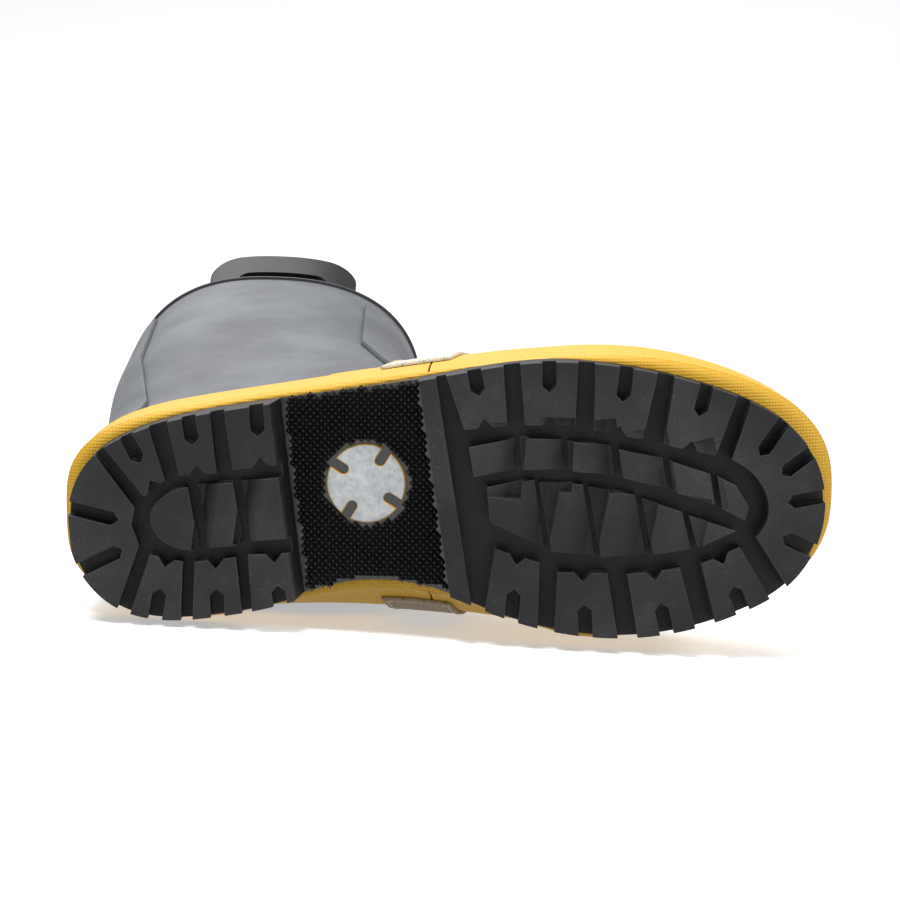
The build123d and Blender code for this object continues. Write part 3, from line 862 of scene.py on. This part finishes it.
class BOOT_OT_outsole(bpy.types.Operator):
    """Paints the heel, shank and forefoot treads and covers the shank with pyramids"""
    bl_idname = "boot.outsole"
    bl_label = "Outsole"

    def execute(self, context):
        for node in ("heel_tread", "forefoot_tread"):
            paint_node(node, tread_black())
        paint_node("shank_cover", knurl_black())
        self.knurl()
        return {"FINISHED"}

    def on_knurl(self, edge, station, across):
        """True where the shank has room for a pyramid."""
        breast, rib = shank_ends(across)
        if not breast + KNURL_MARGIN < station < rib - KNURL_MARGIN:
            return False
        if hypot(station - INLAY_CENTRE[0], across - INLAY_CENTRE[1]) <= INLAY_CLEARANCE:
            return False
        return inside(edge, station, across) and all(
            hypot(station - a, across - b) > KNURL_MARGIN for a, b in edge)

    def knurl(self):
        """Covers the shank's underside with small pyramids."""
        settings = boot_settings()
        pitch = settings.knurl_pitch / MM
        edge = outline_points()
        points = []
        for row in range(-KNURL_ROWS, KNURL_ROWS):
            for column in range(-KNURL_ROWS, KNURL_ROWS):
                station = KNURL_CENTRE[0] + (row + column) * pitch / 2
                across = KNURL_CENTRE[1] + (row - column) * pitch / 2
                if self.on_knurl(edge, station, across):
                    height = shank_height(station) - settings.knurl_height / MM
                    points.append(to_frame(station, across, height))
        mesh = bpy.data.meshes.new("shank_knurl")
        mesh.from_pydata(points, [], [])
        piece = new_object("shank_knurl", mesh)
        run_nodes(piece, knurl_tree(), {
            "Pyramid Radius": settings.knurl_pitch * 0.5,
            "Pyramid Height": settings.knurl_height, "Material": knurl_black()})
        finish_piece(piece, "tread_rubber", "boot", material=knurl_black(), auto_smooth=20)


class BOOT_OT_emblem(bpy.types.Operator):
    """Finishes the round inlay in the shank"""
    bl_idname = "boot.emblem"
    bl_label = "Shank Inlay"

    def execute(self, context):
        backing = copy_of_node("emblem_backing", "inlay_backing", 0.25)
        finish_piece(backing, "yellow_rubber", "boot", "emblem_backing",
                     material=inlay_yellow())
        face = copy_of_node("emblem_reflector", "inlay_face", 0.15)
        finish_piece(face, "reflective_film", "boot", "emblem_reflector")
        return {"FINISHED"}


# ---- upper ----------------------------------------------------------------------------------
class BOOT_OT_upper(bpy.types.Operator):
    """Builds the rubber shaft and vamp with its backstay and shin guard"""
    bl_idname = "boot.upper"
    bl_label = "Upper"

    def execute(self, context):
        shell = skin("upper_rubber", 0, above_sole(0.1), flat(SHELL_TOP), levels=96)
        solidify(shell, 4.0)
        finish_piece(shell, "shaft_rubber", "boot", "upper_shell")
        backstay = skin("backstay_strip", 0.3, above_sole(0), flat(335), levels=110, region=[
            (-30, 57), (21, 55), (22, 100), (9, 190), (1, 330), (-30, 330)])
        solidify(backstay, 2.0, inward=False, bevel=0.8)
        finish_piece(backstay, "shaft_rubber", "boot", "backstay")
        shin = skin("shin_layer", 0.3, flat(120), flat(325), levels=90, region=[
            (150, 160), (128, 176), (116, 200), (114, 320), (170, 320), (170, 150)])
        solidify(shin, 2.0, inward=False, bevel=0.8)
        finish_piece(shin, "shaft_rubber", "boot", "shin_guard")
        self.binding()
        return {"FINISHED"}

    def binding(self):
        """Rolled edge round the shaft's rim."""
        low, high = SHELL_TOP + 0.1, RIM
        profile = [(-LINING_INSIDE, low), (1.4, low), (1.6, low + 1.2), (1.2, high - 1.0),
                   (-0.2, high), (-LINING_INSIDE + 1.6, high), (-LINING_INSIDE + 0.2, high - 1.2)]
        shape = bmesh.new()
        rings = []
        for turn in turn_steps():
            ring = []
            for grow, height in profile:
                position = row_at_height(turn, grow, flat(height))
                ring.append(shape.verts.new(to_frame(*form_point(turn, position, grow))))
            rings.append(ring)
        for first, second in zip(rings, rings[1:] + rings[:1]):
            for k in range(len(profile)):
                n = (k + 1) % len(profile)
                shape.faces.new((first[k], second[k], second[n], first[n]))
        bmesh.ops.recalc_face_normals(shape, faces=shape.faces[:])
        mesh = bpy.data.meshes.new("rim_roll")
        shape.to_mesh(mesh)
        shape.free()
        piece = new_object("rim_roll", mesh)
        finish_piece(piece, "binding_rubber", "boot", "rim_binding", auto_smooth=60)


# ---- yellow gum bands -----------------------------------------------------------------------
BANDS_MEET = 150.5          # station where the foxing's foot meets the guard's
FOXING_REGION = [(-30, 0), (149, 0), (156, 88), (136, 84), (130, 66), (108, 60),
                 (107, 54), (20, 54), (-30, 56)]
GUARD_REGION = [(150, 0), (157, 90), (176, 97), (226, 118), (340, 118), (340, 0)]


def wrap_ring(name, keep):
    """The band's foot, turned under the upper's edge to meet the outsole."""
    inner = outline_points(336)
    centre = (150.0, -3.0)      # somewhere well inside the outline
    short_reach = 3.0           # where the outline nears the rim, the sag fades
    rim = []
    for turn in turn_steps(480):
        position = row_at_height(turn, GUM_OUTSIDE, above_sole(-0.2))
        rim.append(form_point(turn, position, GUM_OUTSIDE))
    rim_angles = sorted((atan2(a - centre[1], s - centre[0]), s, a) for s, a, _ in rim)

    def on_rim(angle):
        for first, second in zip(rim_angles, rim_angles[1:]):
            if first[0] <= angle <= second[0]:
                t = (angle - first[0]) / max(1e-9, second[0] - first[0])
                return [f + (s - f) * t for f, s in zip(first[1:], second[1:])]
        return rim_angles[0][1:]

    shape = bmesh.new()
    rows = []
    for station, across in inner:
        angle = atan2(across - centre[1], station - centre[0])
        outer_station, outer_across = on_rim(angle)
        reach = hypot(outer_station - station, outer_across - across)
        inward = hypot(station - centre[0], across - centre[1]) > hypot(
            outer_station - centre[0], outer_across - centre[1])
        if inward:
            outer_station, outer_across = station, across
            reach = 0.0
        row = []
        for part in (0.0, 0.2, 0.45, 0.7, 0.9, 1.0):
            s = station + (outer_station - station) * part
            a = across + (outer_across - across) * part
            sag = WRAP_THICKNESS * (1 - part**3.0) * min(1.0, reach / short_reach)
            row.append(shape.verts.new(to_frame(s, a, sole_top(s) - sag)))
        back = to_frame(station, across, sole_top(station) - 0.1)
        row.append(shape.verts.new(back))
        rows.append((row, keep(station)))
    for (first, kept), (second, _) in zip(rows, rows[1:] + rows[:1]):
        if kept:
            for k in range(len(first)):
                n = (k + 1) % len(first)
                shape.faces.new((first[k], first[n], second[n], second[k]))
    bmesh.ops.dissolve_degenerate(shape, dist=1e-5, edges=shape.edges[:])
    bmesh.ops.recalc_face_normals(shape, faces=shape.faces[:])
    mesh = bpy.data.meshes.new(name)
    shape.to_mesh(mesh)
    shape.free()
    lay_threads(mesh)
    return new_object(name, mesh)


class BOOT_OT_gum_bands(bpy.types.Operator):
    """Builds the yellow foxing band and the toe guard"""
    bl_idname = "boot.gum_bands"
    bl_label = "Gum Bands"

    def execute(self, context):
        foxing = skin("foxing_gum", GUM_OUTSIDE, above_sole(-0.2), flat(125), FOXING_REGION,
                      levels=80)
        solidify(foxing, 2.7, bevel=0.9)
        foxing = join(foxing, wrap_ring("foxing_foot", lambda station: station < BANDS_MEET))
        finish_piece(foxing, "yellow_rubber", "boot", "foxing_band")
        guard = skin("toe_guard_gum", GUM_OUTSIDE, above_sole(-0.2), flat(135), GUARD_REGION,
                     levels=90)
        solidify(guard, 2.7, bevel=0.9)
        guard = join(guard, wrap_ring("guard_foot", lambda station: station >= BANDS_MEET))
        finish_piece(guard, "yellow_rubber", "boot", "toe_guard")
        return {"FINISHED"}


# ---- reflective patches ---------------------------------------------------------------------
PATCH_OUTLINE = [(130, 36), (160, 33), (172, 79), (140, 82)]


def stitch_tree():
    """Geometry nodes: a rounded stitch on each short edge of a broken line."""
    tree = bpy.data.node_groups.new("patch_stitches", "GeometryNodeTree")
    g = Graph(tree)
    socket(tree, "Geometry", "INPUT", "NodeSocketGeometry")
    socket(tree, "Thread Radius", "INPUT", "NodeSocketFloat", 0.00035)
    socket(tree, "Material", "INPUT", "NodeSocketMaterial")
    socket(tree, "Geometry", "OUTPUT", "NodeSocketGeometry")
    inner, outer = g.node("NodeGroupInput"), g.node("NodeGroupOutput")
    curve = g.node("GeometryNodeMeshToCurve")
    ring = g.node("GeometryNodeCurvePrimitiveCircle", Resolution=6)
    g.link(inner.outputs["Thread Radius"], ring.inputs["Radius"])
    thread = g.node("GeometryNodeCurveToMesh")
    thread.inputs["Fill Caps"].default_value = True
    real = g.node("GeometryNodeRealizeInstances")
    painted = g.node("GeometryNodeSetMaterial")
    g.link(inner.outputs["Geometry"], curve.inputs["Mesh"])
    g.link(curve.outputs["Curve"], thread.inputs["Curve"])
    g.link(ring.outputs["Curve"], thread.inputs["Profile Curve"])
    g.link(thread.outputs["Mesh"], real.inputs["Geometry"])
    g.link(real.outputs["Geometry"], painted.inputs["Geometry"])
    g.link(inner.outputs["Material"], painted.inputs["Material"])
    g.link(painted.outputs["Geometry"], outer.inputs["Geometry"])
    return tree


def surface_point(station, height, side, grow):
    """Point of the form's side at a station and height."""
    toe, heel = 0.0, pi
    for _ in range(16):
        turn = (toe + heel) / 2
        found = form_point(side * turn, row_at_height(side * turn, grow, flat(height)), grow)
        if found[0] > station:
            toe = turn
        else:
            heel = turn
    return to_frame(*found)


class BOOT_OT_patches(bpy.types.Operator):
    """Builds the two stitched reflective patches"""
    bl_idname = "boot.patches"
    bl_label = "Reflective Patches"

    def execute(self, context):
        # The inner patch takes the darker tape, which is the outer tape with painted shade.
        for side, node, tape in ((-1, "lateral_patch", patch_weave()),
                                 (1, "medial_patch", soiled_weave())):
            patch = skin(node + "_tape", GUM_OUTSIDE + 0.3, flat(24), flat(110), PATCH_OUTLINE,
                         side, levels=60)
            solidify(patch, 1.2, inward=False, bevel=0.4)
            finish_piece(patch, "reflective_weave", "boot", node, material=tape)
            self.stitches(side, node + "_stitches")
        return {"FINISHED"}

    def stitches(self, side, name):
        """Sews round the edge of one patch."""
        centre = [sum(p[k] for p in PATCH_OUTLINE) / 4 for k in (0, 1)]
        inset = [(centre[0] + (s - centre[0]) * 0.88, centre[1] + (z - centre[1]) * 0.9)
                 for s, z in PATCH_OUTLINE]
        pitch = boot_settings().stitch_pitch / MM
        points, edges = [], []
        for (s0, z0), (s1, z1) in zip(inset, inset[1:] + inset[:1]):
            count = int(hypot(s1 - s0, z1 - z0) / pitch)
            for step in range(count):
                for part in (0.12, 0.5, 0.82):
                    t = (step + part) / count
                    lift = 0.15 if part == 0.5 else -0.1
                    points.append(surface_point(s0 + (s1 - s0) * t, z0 + (z1 - z0) * t,
                                                side, GUM_OUTSIDE + 1.5 + lift))
                edges += [(len(points) - 3, len(points) - 2), (len(points) - 2, len(points) - 1)]
        mesh = bpy.data.meshes.new(name)
        mesh.from_pydata(points, edges, [])
        piece = new_object(name, mesh)
        thread = rubber("patch_thread", (0.78, 0.66, 0.36), (0.9, 0.86, 0.7), 0.5, speck=2500.0)
        run_nodes(piece, stitch_tree(), {"Thread Radius": 0.00032, "Material": thread})
        finish_piece(piece, "reflective_weave", "boot", material=thread)


# ---- inner layers ---------------------------------------------------------------------------
SHIN_PAD_REGION = [(112, 172), (170, 172), (170, 318), (112, 318)]


class BOOT_OT_inner_layers(bpy.types.Operator):
    """Builds the padding, lining and steel toe cap"""
    bl_idname = "boot.inner_layers"
    bl_label = "Inner Layers"

    def execute(self, context):
        self.layer("lining_sock", "lining", "lining_cloth", 7.6, 1.2, above_sole(3.1),
                   flat(SHELL_TOP))
        self.layer("leg_padding", "leg_insulation", "felt", 4.3, 3.0, flat(122),
                   flat(SHELL_TOP), region=[(-40, 122), (200, 122), (200, 380), (-40, 380)],
                   hole=SHIN_PAD_REGION)
        self.layer("shin_padding", "shin_pad", "pad_foam", 4.3, 3.0, flat(130), flat(330),
                   region=SHIN_PAD_REGION)
        self.layer("foot_padding", "foot_insulation", "felt", 4.3, 3.0, above_sole(3.1),
                   flat(130), region=[(-20, 0), (256, 0), (256, 122), (-20, 122)])
        self.layer("cap_edge_foam", "cap_edge_strip", "pad_foam", 4.3, 3.0, above_sole(3.1),
                   flat(130), region=[(256.2, 0), (261.8, 0), (261.8, 130), (256.2, 130)])
        self.layer("toe_cap_steel", "steel_toe_cap", "steel", 4.3, 2.0, above_sole(3.1),
                   flat(130), region=[(262, 0), (340, 0), (340, 130), (262, 130)])
        return {"FINISHED"}

    def layer(self, name, node, slot, depth, thickness, low, high, region=None, hole=None):
        piece = skin(name, -depth, low, high, region, hole=hole, levels=70)
        solidify(piece, thickness)
        finish_piece(piece, slot, "boot", node)


class BOOT_OT_sole_pack(bpy.types.Operator):
    """Finishes the plates in the sole and builds the loose insole"""
    bl_idname = "boot.sole_pack"
    bl_label = "Sole Pack"

    def execute(self, context):
        for node, slot in (("midsole_filler", "filler_rubber"), ("steel_shank", "steel"),
                           ("puncture_plate", "steel"), ("insole_board", "fibre_board")):
            piece = copy_of_node(node, node + "_sheet", 0.15)
            finish_piece(piece, slot, "boot", node)
        self.insole()
        return {"FINISHED"}

    def insole(self):
        """Flat cushion with a rounded edge and a slight heel cup."""
        rings = [(-15.5, 6.85), (-13.6, 7.2), (-13.3, 9.0), (-13.8, 11.2), (-15.6, 11.75),
                 (-19, 11.5)]
        shape = bmesh.new()
        loops = []
        for grow, rise in rings:
            loop = []
            for turn in turn_steps(120):
                position = row_at_height(turn, grow, above_sole(9))
                station, across, _ = form_point(turn, position, grow)
                loop.append(shape.verts.new(to_frame(station, across, sole_top(station) + rise)))
            loops.append(loop)
        for first, second in zip(loops, loops[1:]):
            for k in range(len(first)):
                n = (k + 1) % len(first)
                shape.faces.new((first[k], first[n], second[n], second[k]))
        for loop, rise in ((loops[0], 6.85), (loops[-1], 11.0)):
            size = len(loop)
            previous = None
            for k in range(1, size // 2):
                a, b = loop[k], loop[size - k]
                strip = [a]
                for part in range(1, 8):
                    place = a.co.lerp(b.co, part / 8)
                    station = place.x / MM + HALF_LENGTH
                    place.z = (sole_top(station) + rise) * MM
                    strip.append(shape.verts.new(place))
                strip.append(b)
                if previous:
                    for q in range(8):
                        shape.faces.new((previous[q], strip[q], strip[q + 1], previous[q + 1]))
                else:
                    shape.faces.new([loop[0]] + strip)
                previous = strip
            shape.faces.new([loop[size // 2]] + previous[::-1])
        bmesh.ops.recalc_face_normals(shape, faces=shape.faces[:])
        mesh = bpy.data.meshes.new("insole_cushion")
        shape.to_mesh(mesh)
        shape.free()
        piece = new_object("insole_cushion", mesh)
        lay_threads(mesh)
        finish_piece(piece, "insole_felt", "insole", "insole", auto_smooth=50)


# ---- pull loops -----------------------------------------------------------------------------
LOOP_STATION = 66.0
LOOP_TOP = 406.0
LOOP_AXIS_HEIGHT = RIM + 2.0
LOOP_LEAN = 20.0


def arch(half_width, base, top, corner):
    """Side-view outline of an arch with rounded shoulders."""
    half = [(half_width, base)]
    for step in range(9):
        turn = radians(90 * step / 8)
        half.append((half_width - corner + corner * cos(turn),
                     top - corner + corner * sin(turn)))
    right = [(LOOP_STATION + x, z) for x, z in half]
    return right + [(LOOP_STATION - x, z) for x, z in reversed(half)]


class BOOT_OT_loops(bpy.types.Operator):
    """Builds the pull loops, which bend where they leave the shaft"""
    bl_idname = "boot.loops"
    bl_label = "Pull Loops"

    def execute(self, context):
        for side, name in ((-1, "lateral"), (1, "medial")):
            strap = skin(name + "_loop_strap", -LINING_INSIDE - 0.3, flat(320), flat(425),
                         arch(41, RIM, LOOP_TOP, 16), side,
                         arch(25, RIM - 20.0, LOOP_TOP - 20.0, 7), levels=120)
            solidify(strap, 3.2, bevel=1.1, segments=3)
            self.lean(strap, side)
            finish_piece(strap, "loop_rubber", None, name + "_pull_loop")
            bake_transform(strap)
            anchor = copy_of_node(name + "_loop_anchor", name + "_loop_root", 0.6)
            finish_piece(anchor, "loop_rubber", "boot", name + "_loop_anchor")
        return {"FINISHED"}

    def lean(self, strap, side):
        """Bends the strap outward above the rim, gradually at first."""
        axis = to_frame(LOOP_STATION, side * 53, LOOP_AXIS_HEIGHT)
        for vertex in strap.data.vertices:
            rise = (vertex.co.z - axis.z) / MM
            share = min(1.0, max(0.0, (rise + 2.0) / 8.0))
            turn = Matrix.Rotation(-side * radians(LOOP_LEAN) * share, 3, "X")
            vertex.co = axis + turn @ (vertex.co - axis)


# ---- stage ----------------------------------------------------------------------------------
def one_sided(name, colour, glow=0.0):
    """Pale matt surface that shows only from its front."""
    made, g, shader = new_material(name)
    shader.inputs["Emission Color"].default_value = (1, 1, 1, 1)
    shader.inputs["Emission Strength"].default_value = glow
    shader.inputs["Base Color"].default_value = (*colour, 1)
    shader.inputs["Roughness"].default_value = 0.9
    clear = g.node("ShaderNodeBsdfTransparent")
    side = g.node("ShaderNodeNewGeometry")
    mix = g.node("ShaderNodeMixShader")
    out = made.node_tree.nodes["Material Output"]
    g.link(side.outputs["Backfacing"], mix.inputs[0])
    g.link(shader.outputs[0], mix.inputs[1])
    g.link(clear.outputs[0], mix.inputs[2])
    g.link(mix.outputs[0], out.inputs["Surface"])
    return made


class BOOT_OT_stage(bpy.types.Operator):
    """Sets up the pale backdrop, the lights and the camera"""
    bl_idname = "boot.stage"
    bl_label = "Stage"

    def execute(self, context):
        self.backdrop()
        self.floor()
        self.lights()
        self.camera()
        return {"FINISHED"}

    def backdrop(self):
        """Wall that the boot's inner side leans against."""
        def wall(x, z, lift):
            return (x, 0.0545 + 0.063 * (x + 0.12) + 0.0465 * (z - 0.03) - lift, z)

        profile = [(-3.0, 0.0), (0.12, 0.0), (1.2, -0.12)]
        for step in range(1, 13):
            turn = radians(90 * step / 12)
            profile.append((1.2 + 1.5 * sin(turn), 1.5 * (1 - cos(turn)) - 0.12))
        profile.append((2.7, 6.0))
        points = [wall(x, z, lift) for z, lift in profile for x in (-4, 4)]
        faces = [(k, k + 1, k + 3, k + 2) for k in range(0, len(points) - 2, 2)]
        mesh = bpy.data.meshes.new("backdrop")
        mesh.from_pydata(points, [], faces)
        for polygon in mesh.polygons:
            polygon.use_smooth = True
        piece = new_object("backdrop", mesh)
        piece.visible_diffuse = False
        mesh.materials.append(one_sided("backdrop_white", (0.93, 0.93, 0.93), 0.4))

    def floor(self):
        """White floor under the boot."""
        mesh = bpy.data.meshes.new("floor")
        mesh.from_pydata([(-5, -5, -0.0005), (5, -5, -0.0005), (5, 5, -0.0005),
                          (-5, 5, -0.0005)], [], [(0, 1, 2, 3)])
        piece = new_object("floor", mesh)
        piece.visible_shadow = False
        piece.visible_diffuse = False
        piece.visible_glossy = False
        mesh.materials.append(one_sided("floor_white", (0.90, 0.90, 0.90), 0.3))

    def lights(self):
        """World and lamps."""
        world = bpy.data.worlds.new("studio")
        world.use_nodes = True
        g = Graph(world.node_tree)
        soft = world.node_tree.nodes["Background"]
        soft.inputs["Color"].default_value = (1, 1, 1, 1)
        soft.inputs["Strength"].default_value = 0.36
        pale = g.node("ShaderNodeBackground", Color=(1, 1, 1, 1), Strength=0.95)
        path = g.node("ShaderNodeLightPath")
        mix = g.node("ShaderNodeMixShader")
        g.link(path.outputs["Is Camera Ray"], mix.inputs[0])
        g.link(soft.outputs[0], mix.inputs[1])
        g.link(pale.outputs[0], mix.inputs[2])
        g.link(mix.outputs[0], world.node_tree.nodes["World Output"].inputs["Surface"])
        bpy.context.scene.world = world
        for name, place, size, power in (
                ("key", (-0.35, -1.7, -0.45), 0.8, 28.0),
                ("sole_rake", (1.2, -0.7, -0.35), 0.4, 7.0),
                ("top_fill", (-0.4, -1.3, 1.2), 1.2, 14.0)):
            lamp = bpy.data.lights.new(name, "AREA")
            lamp.shape = "DISK"
            lamp.size = size
            lamp.energy = power
            light = bpy.data.objects.new(name, lamp)
            light.location = place
            aim = Vector((0, 0, 0.1)) - Vector(place)
            light.rotation_euler = aim.to_track_quat("-Z", "Y").to_euler()
            bpy.context.scene.collection.objects.link(light)
        bpy.context.scene.view_settings.view_transform = "Standard"

    def camera(self):
        """Camera of the main view."""
        lens = bpy.data.cameras.new("camera")
        camera = bpy.data.objects.new("camera", lens)
        bpy.context.scene.collection.objects.link(camera)
        tilt = radians(8.5)
        distance = 1.1
        toward = Vector((0, -sin(tilt), -cos(tilt)))
        up = Vector((0, -cos(tilt), sin(tilt)))
        right = up.cross(toward)
        turn = Matrix((right, up, toward)).transposed().to_4x4()
        camera.matrix_world = Matrix.Translation(
            Vector((0, -0.023, 0)) + toward * distance) @ turn
        lens.lens = 104.7
        lens.sensor_width = 36.0
        lens.clip_end = 50.0
        bpy.context.scene.camera = camera


# ---- add-on ---------------------------------------------------------------------------------
PIECES = (BOOT_OT_outsole, BOOT_OT_emblem, BOOT_OT_upper, BOOT_OT_gum_bands,
          BOOT_OT_patches, BOOT_OT_inner_layers, BOOT_OT_sole_pack, BOOT_OT_loops,
          BOOT_OT_stage)


class BOOT_PT_panel(bpy.types.Panel):
    """Lists the boot's pieces"""
    bl_label = "Boot"
    bl_idname = "BOOT_PT_panel"
    bl_space_type = "VIEW_3D"
    bl_region_type = "UI"
    bl_category = "Boot"

    def draw(self, context):
        for name in BootSettings.__annotations__:
            self.layout.prop(context.scene.boot_settings, name)
        for piece in PIECES:
            self.layout.operator(piece.bl_idname)


def register():
    """Adds the classes and the settings."""
    for item in (BootSettings, *PIECES, BOOT_PT_panel):
        bpy.utils.register_class(item)
    bpy.types.Scene.boot_settings = bpy.props.PointerProperty(type=BootSettings)


def unregister():
    """Takes them out again."""
    del bpy.types.Scene.boot_settings
    for item in reversed((BootSettings, *PIECES, BOOT_PT_panel)):
        bpy.utils.unregister_class(item)


def main():
    """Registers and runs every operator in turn."""
    register()
    for piece in PIECES:
        group, name = piece.bl_idname.split(".")
        getattr(getattr(bpy.ops, group), name)()


if __name__ == "__main__":
    main()
